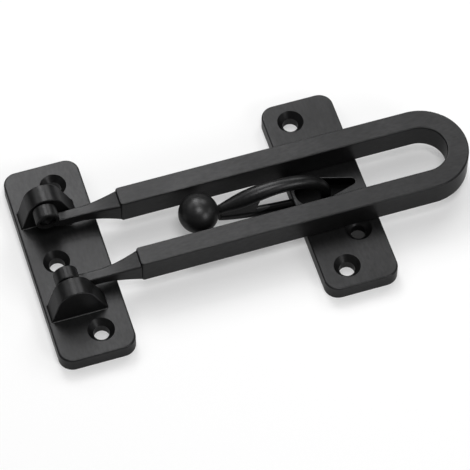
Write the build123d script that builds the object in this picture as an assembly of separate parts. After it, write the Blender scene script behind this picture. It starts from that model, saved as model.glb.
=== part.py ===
from build123d import *
import os
from math import acos, atan2, cos, hypot, pi, sin

# Swing-bar door guard in cast zinc: a hinge plate that carries a long U-shaped bar, and a strike
# plate whose ball-ended hook stands in the slot of the bar. Millimetres, +Z away from the wall.
# The origin is the middle of the hinge plate's back, +X runs along the bar to its loop and
# +Y along both plates.

# Both mounting plates
plate_length = 71.8
hinge_plate_width = 24.4
strike_plate_width = 23.7
plate_thickness = 5.0
plate_corner_radius = 4.5
plate_edge_radius = 0.6
plate_spacing = 84.8  # middle of the hinge plate to middle of the strike plate

# Countersunk screw holes
screw_hole_diameter = 5.0
countersink_diameter = 8.4
countersink_depth = 2.0
hinge_end_hole_inset = 8.4  # from the plate's end
hinge_end_hole_margin = 9.6  # from the plate's side towards the bar
hinge_middle_hole_margin = 8.35  # from the plate's outer side
strike_end_hole_inset = 7.6  # from the plate's end
strike_end_hole_margin = 8.45  # from the plate's side towards the hinge
strike_inner_hole_inset = 19.4  # from the plate's end
strike_inner_hole_margin = 7.55  # from the plate's side away from the hinge

# Hinge: two lugs on the plate, a pin in each, and the bar's knuckles between them
pin_margin = 8.7  # pin axis from the plate's outer side
pin_height = 13.4  # pin axis above the back
pin_diameter = 3.2
pin_end_chamfer = 0.3
pin_head_diameter = 4.8
pin_head_thickness = 1.1
pin_dome_radius = 5.5
pin_bore_depth = 5.0  # blind bore in each lug
pin_running_clearance = 0.05
pin_head_clearance = 0.3
lug_thickness = 6.2
lug_height = 17.6  # crown above the back
lug_crown_radius = 6.0
lug_shift = 0.75  # middle of the crown from the pin axis, towards the bar
lug_outer_foot = 8.3  # middle of the crown to the foot on the plate's outer side
lug_inner_foot = 9.6  # middle of the crown to the foot on the bar's side
lug_root = 0.5  # inside the plate
lug_foot_fillet = 0.35
lug_edge_radius = 0.35
knuckle_radius = 3.8
knuckle_length = 4.6
knuckle_edge_radius = 0.5
knuckle_setback = 0.8  # knuckle's outer face inside the arm's outer face
hinge_side_clearance = 0.45  # knuckle to lug

# Swing bar
bar_slot_width = 16.2
bar_clearance = 0.25  # bar above the strike plate
bar_reach = 133.6  # pin axis to the far end of the loop
arm_width = 6.75
arm_height = 9.1
arm_edge_radius = 0.5
arm_end_radius = 1.0  # upright corners of each arm at its shoulder
neck_length = 22.9  # pin axis to the shoulder of each arm
neck_side_step = 0.1  # root of the neck inside the arm's sides
neck_top_step = 1.4  # root of the neck below the arm's top
neck_under_step = 0.65  # root of the neck above the arm's underside
neck_overlap = 0.1  # root of the neck inside the arm, which leaves a groove at its round end
neck_edge_radius = 0.5
blade_start = 6.5  # pin axis to the start of the level blade
blade_length = 3.6
blade_bend = 5.0  # blade's end to the knee of the flare
blade_width = 3.3
blade_height = 3.7
blade_drop = 2.1  # blade's top below the pin axis
blade_eye_drop = 3.3  # blade's underside below the pin axis, inside the knuckle
blade_setback = 0.55  # blade's outer face inside the knuckle's outer face

# Hook on the strike plate, with its ball
ball_diameter = 12.7
ball_reach = 30.85  # ball's middle from the plate's side towards the hinge
ball_height = 11.2
spigot_diameter = 2.8
spigot_depth = 5.0  # inside the ball
spigot_root = 0.6  # inside the horn
horn_reach = 24.3  # blunt end of the horn from the plate's side
horn_tip_height = 9.9
horn_tip_radius = 1.55
horn_tip_slope = 0.3
horn_tip_edge_radius = 0.4
horn_radius = 2.6
horn_taper = 0.25  # share of the horn that tapers to its tip
horn_peak_reach = 3.4  # top of the arch from the plate's side
horn_peak_height = 14.5
horn_root_margin = 11.2  # root of the horn inside the plate's side
horn_root_radius = 1.7
horn_section_count = 9
brace_tip_height = 6.8
brace_tip_radius = 1.5
brace_knee_reach = 17.5  # from the plate's side
brace_knee_height = 3.9
brace_root_height = 1.95
brace_root_radius = 1.75
brace_root_depth = 1.0  # root of the brace inside the plate's side
brace_section_count = 6
web_thickness = 2.0
web_setback = 0.6  # behind the horn's blunt end
web_length = 10.4  # along the brace
web_lean = 3.0  # further along the horn than along the brace
web_head_height = 12.6  # far corner of the web, inside the horn
pocket_floor = 1.0
pocket_radius = 5.0
pocket_tip_radius = 1.2
pocket_tip_margin = 4.1  # middle of the pocket's tip from the plate's side away from the hinge
pocket_margin = 1.3  # pocket's round end from the plate's side towards the hinge
pocket_shift = 1.0  # off the bar's middle
pocket_edge_radius = 0.35

# How far a cutting shape runs past the face that it opens
cut_past = 1.0

# Places that follow from the sizes
hinge_side = hinge_plate_width / 2
plate_end = plate_length / 2
pin_x = pin_margin - hinge_side
lug_x = pin_x + lug_shift
bar_bottom = plate_thickness + bar_clearance
bar_top = bar_bottom + arm_height
arm_inner = bar_slot_width / 2
arm_outer = arm_inner + arm_width
shoulder_x = pin_x + neck_length
loop_x = pin_x + bar_reach - arm_outer
knuckle_outer = arm_outer - knuckle_setback
knuckle_inner = knuckle_outer - knuckle_length
lug_inner = knuckle_outer + hinge_side_clearance
lug_outer = lug_inner + lug_thickness
pin_head_y = knuckle_inner + pin_head_clearance
pin_end_y = lug_inner + pin_bore_depth
blade_outer = knuckle_outer - blade_setback
blade_inner = blade_outer - blade_width
blade_top = pin_height - blade_drop
blade_bottom = blade_top - blade_height
strike_side = plate_spacing - strike_plate_width / 2
strike_back_side = plate_spacing + strike_plate_width / 2
ball_x = strike_side - ball_reach
horn_tip_x = strike_side - horn_reach


def across(face, y_low, y_high):
    """Carry a side outline, drawn in X and Z, from one Y to another."""
    plane = Plane(origin=(0, y_high, 0), x_dir=(1, 0, 0), z_dir=(0, -1, 0))
    return extrude(plane * face, y_high - y_low)


def rod_across(radius, x, z, y_low, y_high):
    """Round bar along Y."""
    return across(Pos(x, z) * Circle(radius), y_low, y_high)


def both_sides(piece):
    """A piece and its mirror image on the other side of the bar's middle."""
    return piece + mirror(piece, about=Plane.XZ)


def plate_blank(width):
    """Flat plate with round corners and a softened rim."""
    outline = RectangleRounded(width, plate_length, plate_corner_radius)
    blank = extrude(outline, plate_thickness)
    return fillet(blank.edges().group_by(Axis.Z)[-1], plate_edge_radius)


def screw_hole(x, y):
    """Through hole with a conical seat for a flat-headed screw."""
    bore = Cylinder(screw_hole_diameter / 2, 2 * (plate_thickness + cut_past))
    seat = Cone(
        screw_hole_diameter / 2,
        countersink_diameter / 2,
        countersink_depth,
        align=(Align.CENTER, Align.CENTER, Align.MAX),
    )
    return Pos(x, y, 0) * bore + Pos(x, y, plate_thickness) * seat


def lug_flank(foot_reach):
    """Points where a straight flank leaves the crown and where it ends inside the plate."""
    crown_z = lug_height - lug_crown_radius
    drop = crown_z - plate_thickness
    lean = acos(lug_crown_radius / hypot(foot_reach, drop)) - atan2(drop, foot_reach)
    touch_x = lug_crown_radius * cos(lean)
    touch_z = crown_z + lug_crown_radius * sin(lean)
    end_z = plate_thickness - lug_root
    spread = (foot_reach - touch_x) / (touch_z - plate_thickness)
    return (touch_x, touch_z), (touch_x + spread * (touch_z - end_z), end_z)


def lug():
    """Upright ear on the +Y side with a round crown and flanks that spread to its foot."""
    (inner_x, inner_z), (inner_end_x, end_z) = lug_flank(lug_inner_foot)
    (outer_x, outer_z), (outer_end_x, end_z) = lug_flank(lug_outer_foot)
    crown = ThreePointArc((inner_x, inner_z), (0, lug_height), (-outer_x, outer_z))
    rest = Polyline((-outer_x, outer_z), (-outer_end_x, end_z), (inner_end_x, end_z), (inner_x, inner_z))
    block = across(Pos(lug_x, 0) * make_face([crown, rest]), lug_inner, lug_outer)
    faces = block.faces().filter_by(Axis.Y)
    rims = [edge for face in faces for edge in face.edges() if edge.center().Z > plate_thickness]
    return fillet(rims, lug_edge_radius)


def hinge_plate():
    """Plate with two lugs, its screw holes and a blind bore in each lug for a pin."""
    body = plate_blank(hinge_plate_width) + both_sides(lug())
    foot_lines = [
        edge
        for edge in body.edges().filter_by_position(Axis.Z, plate_thickness, plate_thickness)
        if lug_inner - lug_edge_radius < abs(edge.center().Y) < lug_outer + lug_edge_radius
        and -lug_outer_foot <= edge.center().X - lug_x <= lug_inner_foot
    ]
    body = fillet(foot_lines, lug_foot_fillet)
    body -= both_sides(screw_hole(hinge_side - hinge_end_hole_margin, plate_end - hinge_end_hole_inset))
    body -= screw_hole(hinge_middle_hole_margin - hinge_side, 0)
    bore = rod_across(pin_diameter / 2, pin_x, pin_height, lug_inner - cut_past, pin_end_y)
    return body - both_sides(bore)


def hinge_pin():
    """Headed pin on the +Y side: pressed into the lug, with the knuckle running on it."""
    shank = rod_across(pin_diameter / 2, pin_x, pin_height, pin_head_y + pin_head_thickness / 2, pin_end_y)
    shank = chamfer(shank.edges().sort_by(Axis.Y)[-1], pin_end_chamfer)
    disc = rod_across(
        pin_head_diameter / 2, pin_x, pin_height, pin_head_y, pin_head_y + pin_head_thickness
    )
    dome = Pos(pin_x, pin_head_y + pin_dome_radius, pin_height) * Sphere(pin_dome_radius)
    return shank + (disc & dome)


def bar_loop():
    """Two parallel arms joined by a half round at the far end."""
    length = loop_x - shoulder_x
    middle = Pos(shoulder_x + length / 2, 0)
    outline = middle * Rectangle(length, 2 * arm_outer) + Pos(loop_x, 0) * Circle(arm_outer)
    outline -= middle * Rectangle(length, bar_slot_width) + Pos(loop_x, 0) * Circle(arm_inner)
    bar = Pos(0, 0, bar_bottom) * extrude(outline, arm_height)
    end_corners = bar.edges().filter_by(Axis.Z).group_by(Axis.X)[0]
    bar = fillet(end_corners, arm_end_radius)
    return fillet(bar.edges().filter_by(Plane.XY), arm_edge_radius)


def neck_outline(eye_low, eye_high, blade_low, blade_high, root_low, root_high):
    """Blade that leaves the pin axis, runs level and swings out to the neck's root inside the arm."""
    start_x = pin_x + blade_start
    bow_x = pin_x + blade_start / 2
    blade_x = start_x + blade_length
    knee_x = blade_x + blade_bend
    root_x = shoulder_x + neck_overlap
    return make_face(
        [
            Bezier((pin_x, eye_low), (bow_x, blade_low), (start_x, blade_low)),
            Line((start_x, blade_low), (blade_x, blade_low)),
            Bezier((blade_x, blade_low), (knee_x, blade_low), (root_x, root_low)),
            Line((root_x, root_low), (root_x, root_high)),
            Bezier((root_x, root_high), (knee_x, blade_high), (blade_x, blade_high)),
            Line((blade_x, blade_high), (start_x, blade_high)),
            Bezier((start_x, blade_high), (bow_x, blade_high), (pin_x, eye_high)),
            Line((pin_x, eye_high), (pin_x, eye_low)),
        ]
    )


def neck():
    """Flat blade on the +Y side that flares to nearly the size of the arm."""
    plan = neck_outline(
        blade_inner,
        blade_outer,
        blade_inner,
        blade_outer,
        arm_inner + neck_side_step,
        arm_outer - neck_side_step,
    )
    side = neck_outline(
        pin_height - blade_eye_drop,
        pin_height,
        blade_bottom,
        blade_top,
        bar_bottom + neck_under_step,
        bar_top - neck_top_step,
    )
    blank = extrude(plan, bar_top) & across(side, 0, arm_outer)
    cross_edges = blank.edges().filter_by(Axis.Y) + blank.edges().filter_by(Axis.Z)
    corners = [edge for edge in blank.edges() if edge not in cross_edges]
    return fillet(corners, neck_edge_radius)


def knuckle():
    """Barrel on the +Y side that turns on the pin."""
    barrel = rod_across(knuckle_radius, pin_x, pin_height, knuckle_inner, knuckle_outer)
    return fillet(barrel.edges().filter_by(GeomType.CIRCLE), knuckle_edge_radius)


def knuckle_bore():
    """Running bore for the pin, with a recess for its head."""
    open_y = knuckle_inner - cut_past
    bore_radius = pin_diameter / 2 + pin_running_clearance
    bore = rod_across(bore_radius, pin_x, pin_height, open_y, knuckle_outer + cut_past)
    recess_radius = pin_head_diameter / 2 + pin_head_clearance
    recess_floor = pin_head_y + pin_head_thickness + pin_head_clearance
    return bore + rod_across(recess_radius, pin_x, pin_height, open_y, recess_floor)


def swing_bar():
    """The whole moving bar: loop, two necks and two knuckles in one casting."""
    arm_end = neck() + knuckle() - knuckle_bore()
    return bar_loop() + both_sides(arm_end)


def tapered_rod(path, radius_at, count):
    """Round rod along a path, with its radius given along the way."""
    sections = []
    for step in range(count):
        share = step / (count - 1)
        plane = Plane(origin=path @ share, x_dir=(0, 1, 0), z_dir=path % share)
        sections.append(plane * Circle(radius_at(share)))
    return loft(sections)


def horn_radius_at(share):
    """Radius of the horn from its blunt end to its root."""
    if share < horn_taper:
        return horn_tip_radius + (horn_radius - horn_tip_radius) * sin(pi / 2 * share / horn_taper)
    rest = (share - horn_taper) / (1 - horn_taper)
    return horn_radius + (horn_root_radius - horn_radius) * rest


def horn():
    """Arched upper limb of the hook, from its blunt end over the plate and down into the pocket."""
    path = Spline(
        (horn_tip_x, 0, horn_tip_height),
        (strike_side - horn_peak_reach, 0, horn_peak_height),
        (strike_side + horn_root_margin, 0, pocket_floor / 2),
        tangents=[(1, 0, horn_tip_slope), (0, 0, -1)],
    )
    rod = tapered_rod(path, horn_radius_at, horn_section_count)
    return fillet(rod.edges().sort_by(Axis.X)[0], horn_tip_edge_radius)


def brace_radius_at(share):
    """Radius of the brace from its free end to the plate."""
    return brace_tip_radius + (brace_root_radius - brace_tip_radius) * sin(pi / 2 * share)


def brace():
    """Lower limb of the hook, from below the horn's blunt end down to the plate's side."""
    path = Bezier(
        (horn_tip_x, 0, brace_tip_height),
        (strike_side - brace_knee_reach, 0, brace_knee_height),
        (strike_side + brace_root_depth, 0, brace_root_height),
    )
    rod = tapered_rod(path, brace_radius_at, brace_section_count)
    return fillet(rod.edges().sort_by(Axis.X)[0], horn_tip_edge_radius)


def web():
    """Wall that fills the fork between the two limbs behind the ball."""
    start_x = horn_tip_x + web_setback
    end_x = start_x + web_length
    outline = Polyline(
        (start_x, brace_tip_height),
        (end_x, brace_knee_height),
        (end_x + web_lean, web_head_height),
        (start_x, horn_tip_height),
        close=True,
    )
    return across(make_face(outline), -web_thickness / 2, web_thickness / 2)


def spigot():
    """Peg from the horn's blunt end into the ball."""
    middle = Vector(ball_x, 0, ball_height)
    lean = Vector(horn_tip_x, 0, horn_tip_height) - middle
    start = ball_diameter / 2 - spigot_depth
    rod = Cylinder(
        spigot_diameter / 2, lean.length + spigot_root - start, align=(Align.CENTER, Align.CENTER, Align.MIN)
    )
    return Plane(origin=middle, z_dir=lean) * Pos(0, 0, start) * rod


def pocket():
    """Teardrop recess that the horn rises from."""
    small = Pos(strike_back_side - pocket_tip_margin, pocket_shift) * Circle(pocket_tip_radius)
    large = Pos(strike_side + pocket_margin + pocket_radius, pocket_shift) * Circle(pocket_radius)
    outline = make_hull(small.edges() + large.edges())
    return Pos(0, 0, pocket_floor) * extrude(outline, plate_thickness)


def strike_plate():
    """Plate with its screw holes, the pocket and the hook."""
    plate = Pos(plate_spacing, 0, 0) * plate_blank(strike_plate_width) - pocket()
    top_edges = plate.edges().filter_by_position(Axis.Z, plate_thickness, plate_thickness)
    rim = top_edges.filter_by_position(Axis.X, strike_side + cut_past, strike_back_side - cut_past)
    rim = rim.filter_by_position(Axis.Y, pocket_shift - pocket_radius, pocket_shift + pocket_radius)
    plate = fillet(rim, pocket_edge_radius)
    end_y = plate_end - strike_end_hole_inset
    inner_y = plate_end - strike_inner_hole_inset
    plate -= both_sides(screw_hole(strike_side + strike_end_hole_margin, end_y))
    plate -= both_sides(screw_hole(strike_back_side - strike_inner_hole_margin, inner_y))
    return plate + horn() + brace() + web() + spigot()


def catch_ball():
    """Ball pressed on the spigot."""
    return Pos(ball_x, 0, ball_height) * Sphere(ball_diameter / 2) - spigot()


pin = hinge_pin()
pieces = {
    "hinge_plate": hinge_plate(),
    "swing_bar": swing_bar(),
    "hinge_pin_far": pin,
    "hinge_pin_near": mirror(pin, about=Plane.XZ),
    "strike_plate": strike_plate(),
    "catch_ball": catch_ball(),
}
os.makedirs("parts", exist_ok=True)
for name, piece in pieces.items():
    export_step(piece, f"parts/{name}.step")
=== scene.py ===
import math
import bpy
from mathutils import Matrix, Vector


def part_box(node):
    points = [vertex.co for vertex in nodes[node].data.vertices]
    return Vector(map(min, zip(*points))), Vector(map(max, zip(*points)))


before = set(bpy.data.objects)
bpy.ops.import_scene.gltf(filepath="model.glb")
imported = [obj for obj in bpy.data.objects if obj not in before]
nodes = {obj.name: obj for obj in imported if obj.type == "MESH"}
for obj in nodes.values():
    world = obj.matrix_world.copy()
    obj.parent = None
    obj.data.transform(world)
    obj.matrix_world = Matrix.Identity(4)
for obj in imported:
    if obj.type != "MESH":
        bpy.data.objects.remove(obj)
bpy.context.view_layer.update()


# Hinge plate: the half that is screwed to the door frame, a zinc casting with two upright lugs.
# It is sprayed all over with a satin black paint full of graphite, which gives it a soft metal sheen
# and a fine tooth, and which lies a little thicker in some places than in others.
PAINT_BLACK = (0.0235, 0.0235, 0.0239, 1.0)
PAINT_BLOOM = (0.0375, 0.0375, 0.0381, 1.0)
PAINT_ROUGH = (0.31, 0.38)
GRAPHITE_SHARE = 0.8
GRAPHITE_EDGE = (0.5, 0.5, 0.5, 1.0)
CLOUD_PER_METRE = 46.0
STREAK_PER_METRE = 1300.0
TOOTH_PER_METRE = 5200.0
BROAD_DETAIL = 3.0
FINE_DETAIL = 2.0
TOOTH_HEIGHT = 0.000012
TOOTH_STRENGTH = 0.35
BLOOM_RANGE = (0.08, 0.42)
FULL_RANGE = (0, 1)
EVEN = (1, 1, 1)
PLATE_STREAK = (1, 0.4, 1)


def feed(tree, value, place):
    """Join a node's input to a socket, or set it to a plain number or colour."""
    if isinstance(value, bpy.types.NodeSocket):
        tree.links.new(value, place)
    else:
        place.default_value = value


def add_node(tree, kind, **settings):
    """Put a node into a tree and set its named inputs and properties."""
    node = tree.nodes.new(kind)
    for name, value in settings.items():
        if name in node.inputs:
            node.inputs[name].default_value = value
        else:
            setattr(node, name, value)
    return node


def math_node(tree, operation, *values):
    """Arithmetic on sockets and plain numbers; gives the result's socket."""
    node = add_node(tree, "ShaderNodeMath", operation=operation)
    for value, place in zip(values, node.inputs):
        feed(tree, value, place)
    return node.outputs["Value"]


def stretch_range(tree, value, before, after):
    """Carry a value from one range of numbers to another; gives the result's socket."""
    node = add_node(tree, "ShaderNodeMapRange")
    node.inputs["From Min"].default_value, node.inputs["From Max"].default_value = before
    node.inputs["To Min"].default_value, node.inputs["To Max"].default_value = after
    feed(tree, value, node.inputs["Value"])
    return node.outputs["Result"]


def blend_colours(tree, share, first, second):
    """The first colour where the share is 0, the second where it is 1; gives the result's socket."""
    node = add_node(tree, "ShaderNodeMix", data_type="RGBA")
    feed(tree, share, node.inputs["Factor"])
    feed(tree, first, node.inputs["A"])
    feed(tree, second, node.inputs["B"])
    return node.outputs["Result"]


def own_place(tree):
    """Socket with the place of a point in its piece's own frame."""
    return add_node(tree, "ShaderNodeTexCoord").outputs["Object"]


def piece_noise(tree, stretch, scale, detail):
    """Noise in the piece's own frame, pulled long along the axes whose stretch is small."""
    place = add_node(tree, "ShaderNodeMapping", Scale=stretch)
    noise = add_node(tree, "ShaderNodeTexNoise", Scale=scale, Detail=detail)
    feed(tree, own_place(tree), place.inputs["Vector"])
    feed(tree, place.outputs["Vector"], noise.inputs["Vector"])
    return noise.outputs["Fac"]


def new_finish(name):
    """Plain material; gives it with its node tree and its shader."""
    material = bpy.data.materials.new(name)
    material.use_nodes = True
    return material, material.node_tree, material.node_tree.nodes["Principled BSDF"]


def satin_black(name, streak, rough, black, bloom):
    """Graphite paint: cloudy, with faint rubbed streaks in its colour and gloss, and a fine tooth."""
    material, tree, shader = new_finish(name)
    cloud = piece_noise(tree, EVEN, CLOUD_PER_METRE, BROAD_DETAIL)
    streaks = piece_noise(tree, streak, STREAK_PER_METRE, BROAD_DETAIL)
    tooth = piece_noise(tree, EVEN, TOOTH_PER_METRE, FINE_DETAIL)

    share = stretch_range(tree, math_node(tree, "MULTIPLY", cloud, streaks), BLOOM_RANGE, FULL_RANGE)
    feed(tree, blend_colours(tree, share, black, bloom), shader.inputs["Base Color"])
    feed(tree, stretch_range(tree, streaks, FULL_RANGE, rough), shader.inputs["Roughness"])

    bump = add_node(tree, "ShaderNodeBump", Strength=TOOTH_STRENGTH, Distance=TOOTH_HEIGHT)
    feed(tree, tooth, bump.inputs["Height"])
    feed(tree, bump.outputs["Normal"], shader.inputs["Normal"])
    shader.inputs["Metallic"].default_value = GRAPHITE_SHARE
    shader.inputs["Specular Tint"].default_value = GRAPHITE_EDGE
    return material


def dress(node, material):
    """Give a whole node one material."""
    nodes[node].data.materials.clear()
    nodes[node].data.materials.append(material)


hinge_paint = satin_black("hinge_plate_paint", PLATE_STREAK, PAINT_ROUGH, PAINT_BLACK, PAINT_BLOOM)
dress("hinge_plate", hinge_paint)


# Hinge pins: one headed steel pin in each lug, pressed in from the inside, on which a knuckle of
# the bar turns. They are turned from rod and left dark, with fine rings from the tool.
PIN_STEEL = (0.035, 0.035, 0.036, 1.0)
ALL_METAL = 1.0
PIN_ROUGH = (0.25, 0.45)
RING_PER_METRE = 3500.0
ROUND_PIN = (0.02, 1, 0.02)


def turned_steel(name):
    """Dark steel with fine turning lines round the pin's axis, which show in its gloss."""
    material, tree, shader = new_finish(name)
    shader.inputs["Base Color"].default_value = PIN_STEEL
    shader.inputs["Metallic"].default_value = ALL_METAL
    rings = piece_noise(tree, ROUND_PIN, RING_PER_METRE, FINE_DETAIL)
    feed(tree, stretch_range(tree, rings, FULL_RANGE, PIN_ROUGH), shader.inputs["Roughness"])
    return material


pin_finish = turned_steel("pin_steel_turned")
dress("hinge_pin_far", pin_finish)
dress("hinge_pin_near", pin_finish)


# Swing bar: the long U-shaped casting that turns on the pins, with square arms, flared necks and
# round knuckles. Its flats are rubbed down along the arms before it is painted black.
ARM_STREAK = (0.4, 1, 1)
bar_paint = satin_black("swing_bar_paint", ARM_STREAK, PAINT_ROUGH, PAINT_BLACK, PAINT_BLOOM)
dress("swing_bar", bar_paint)


# Strike plate: the half that is screwed to the door, cast with its hook, an arched horn and a
# lower brace that meet behind the ball. It has the same black paint, with painted shade that makes
# it darker below the plate's top in the strip between the bar's arms, round the recess the horn rises
# from.
# Painted shade: this near-black is the colour painted below the plate's top between the bar's arms.
RECESS_SHADE_BLACK = (0.005, 0.005, 0.0051, 1.0)
RECESS_TOP = 0.0047
RECESS_MIDDLE = 0.0
RECESS_HALF_WIDTH = 0.0075


def paint_recess_shade(material):
    """Paint shade into the colour below the plate's top, in the strip between the bar's arms."""
    tree = material.node_tree
    paint = tree.nodes["Principled BSDF"].inputs["Base Color"]
    place = add_node(tree, "ShaderNodeSeparateXYZ")
    feed(tree, own_place(tree), place.inputs["Vector"])
    below = math_node(tree, "LESS_THAN", place.outputs["Z"], RECESS_TOP)
    between = math_node(tree, "COMPARE", place.outputs["Y"], RECESS_MIDDLE, RECESS_HALF_WIDTH)
    inside = math_node(tree, "MULTIPLY", below, between)
    feed(tree, blend_colours(tree, inside, paint.links[0].from_socket, RECESS_SHADE_BLACK), paint)


strike_paint = satin_black("strike_plate_paint", PLATE_STREAK, PAINT_ROUGH, PAINT_BLACK, PAINT_BLOOM)
# Paints shade into the recess under the horn and the strip between the arms.
paint_recess_shade(strike_paint)
dress("strike_plate", strike_paint)


# Ball: pressed on the peg at the end of the hook, so that it can travel in the bar's slot.
# It is turned, polished smooth and painted with the rest.
BALL_BLACK = (0.038, 0.038, 0.0385, 1.0)
BALL_BLOOM = (0.043, 0.043, 0.0436, 1.0)
BALL_ROUGH = (0.35, 0.38)
dress("catch_ball", satin_black("catch_ball_paint", EVEN, BALL_ROUGH, BALL_BLACK, BALL_BLOOM))


# Floor: a pale sheet that the guard lies on. It is white to the camera where no shadow falls, takes
# the guard's soft shadow, and carries painted shade in two spots under the strike plate's inner
# holes, so that these look black from above.
PURE_WHITE = (1, 1, 1, 1)
FLOOR_SIZE = 6.0
FLOOR_WHITE = (0.72, 0.72, 0.72, 1.0)
# Painted shade: the colour of the two dark spots under the strike plate's inner holes.
FLOOR_SHADE = (0.07, 0.07, 0.07, 1.0)
FLOOR_LIFT = 0.25
INNER_HOLE_MARGIN = 0.00755
INNER_HOLE_INSET = 0.0194
SHADE_RADIUS = 0.004


def white_sheet(spots):
    """Diffuse white with a steady lift for camera, mirror and clear rays, but with painted shade in
    two spots.
    """
    material, tree, shader = new_finish("white_sheet")
    tree.nodes.remove(shader)
    place = own_place(tree)
    outside = []
    for spot in spots:
        away = add_node(tree, "ShaderNodeVectorMath", operation="DISTANCE")
        feed(tree, place, away.inputs[0])
        feed(tree, spot, away.inputs[1])
        outside.append(math_node(tree, "GREATER_THAN", away.outputs["Value"], SHADE_RADIUS))
    open_sheet = math_node(tree, "MULTIPLY", *outside)
    paper = add_node(tree, "ShaderNodeBsdfDiffuse")
    feed(tree, blend_colours(tree, open_sheet, FLOOR_SHADE, FLOOR_WHITE), paper.inputs["Color"])

    path = add_node(tree, "ShaderNodeLightPath")
    seen = math_node(tree, "MAXIMUM", path.outputs["Is Camera Ray"], path.outputs["Is Glossy Ray"])
    seen = math_node(tree, "MAXIMUM", seen, path.outputs["Is Transmission Ray"])
    seen = math_node(tree, "MULTIPLY", seen, open_sheet)
    lift = add_node(tree, "ShaderNodeEmission", Color=PURE_WHITE)
    feed(tree, math_node(tree, "MULTIPLY", seen, FLOOR_LIFT), lift.inputs["Strength"])
    both = add_node(tree, "ShaderNodeAddShader")
    feed(tree, paper.outputs["BSDF"], both.inputs[0])
    feed(tree, lift.outputs["Emission"], both.inputs[1])
    feed(tree, both.outputs["Shader"], tree.nodes["Material Output"].inputs["Surface"])
    return material


strike_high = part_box("strike_plate")[1]
spot_x = strike_high.x - INNER_HOLE_MARGIN
spot_y = strike_high.y - INNER_HOLE_INSET
bpy.ops.mesh.primitive_plane_add(size=FLOOR_SIZE, location=(0, 0, 0))
floor = bpy.context.object
floor.name = "floor"
floor.data.materials.append(white_sheet([(spot_x, spot_y, 0), (spot_x, -spot_y, 0)]))


# Light and camera: soft boxes of one size stand round the guard at one distance in a dim white room,
# the two strongest behind it and almost over it. A long lens looks down from the front, a little to
# the hinge's side. Each box is given by its azimuth and elevation in degrees and its power in watts.
WORLD_STRENGTH = 0.1
BOX_SIZE = 0.36
BOX_DISTANCE = 1.0
BOX_AIM = Vector((0.05, 0.0, 0.0))
SOFT_BOXES = {
    "back_box": (90, 45, 3.4),
    "back_left_box": (135, 45, 0.7),
    "back_right_box": (45, 45, 1.7),
    "over_back_box": (90, 68, 1.3),
    "over_front_box": (270, 75, 3.4),
    "left_box": (175, 45, 0.2),
    "right_box": (340, 25, 0.5),
    "front_right_box": (300, 30, 2.0),
}
VIEW_TARGET = Vector((0.05264, -0.00422, 0.0))
VIEW_AZIMUTH = math.radians(-17.48)
VIEW_ELEVATION = math.radians(57.57)
VIEW_DISTANCE = 0.89565
VIEW_LENS = 219.16
SENSOR_WIDTH = 36.0


def soft_box(name, azimuth, elevation, power):
    """Square area lamp that faces the guard, placed by its angles from +X and from the floor."""
    turn, rise = math.radians(azimuth), math.radians(elevation)
    away = Vector((math.cos(turn) * math.cos(rise), math.sin(turn) * math.cos(rise), math.sin(rise)))
    lamp = bpy.data.lights.new(name, "AREA")
    lamp.size = BOX_SIZE
    lamp.energy = power
    box = bpy.data.objects.new(name, lamp)
    box.location = BOX_AIM + BOX_DISTANCE * away
    box.rotation_euler = away.to_track_quat("Z", "Y").to_euler()
    bpy.context.scene.collection.objects.link(box)


for box_name, setting in SOFT_BOXES.items():
    soft_box(box_name, *setting)

world = bpy.data.worlds.new("room")
world.use_nodes = True
room_light = world.node_tree.nodes["Background"]
room_light.inputs["Color"].default_value = PURE_WHITE
room_light.inputs["Strength"].default_value = WORLD_STRENGTH
bpy.context.scene.world = world

view_back = Vector((
    math.sin(VIEW_AZIMUTH) * math.cos(VIEW_ELEVATION),
    -math.cos(VIEW_AZIMUTH) * math.cos(VIEW_ELEVATION),
    math.sin(VIEW_ELEVATION),
))
camera = bpy.data.objects.new("camera", bpy.data.cameras.new("camera"))
camera.data.lens = VIEW_LENS
camera.data.sensor_width = SENSOR_WIDTH
camera.location = VIEW_TARGET + view_back * VIEW_DISTANCE
camera.rotation_euler = (-view_back).to_track_quat("-Z", "Y").to_euler()
bpy.context.scene.collection.objects.link(camera)
bpy.context.scene.camera = camera
bpy.context.scene.view_settings.view_transform = "Standard"
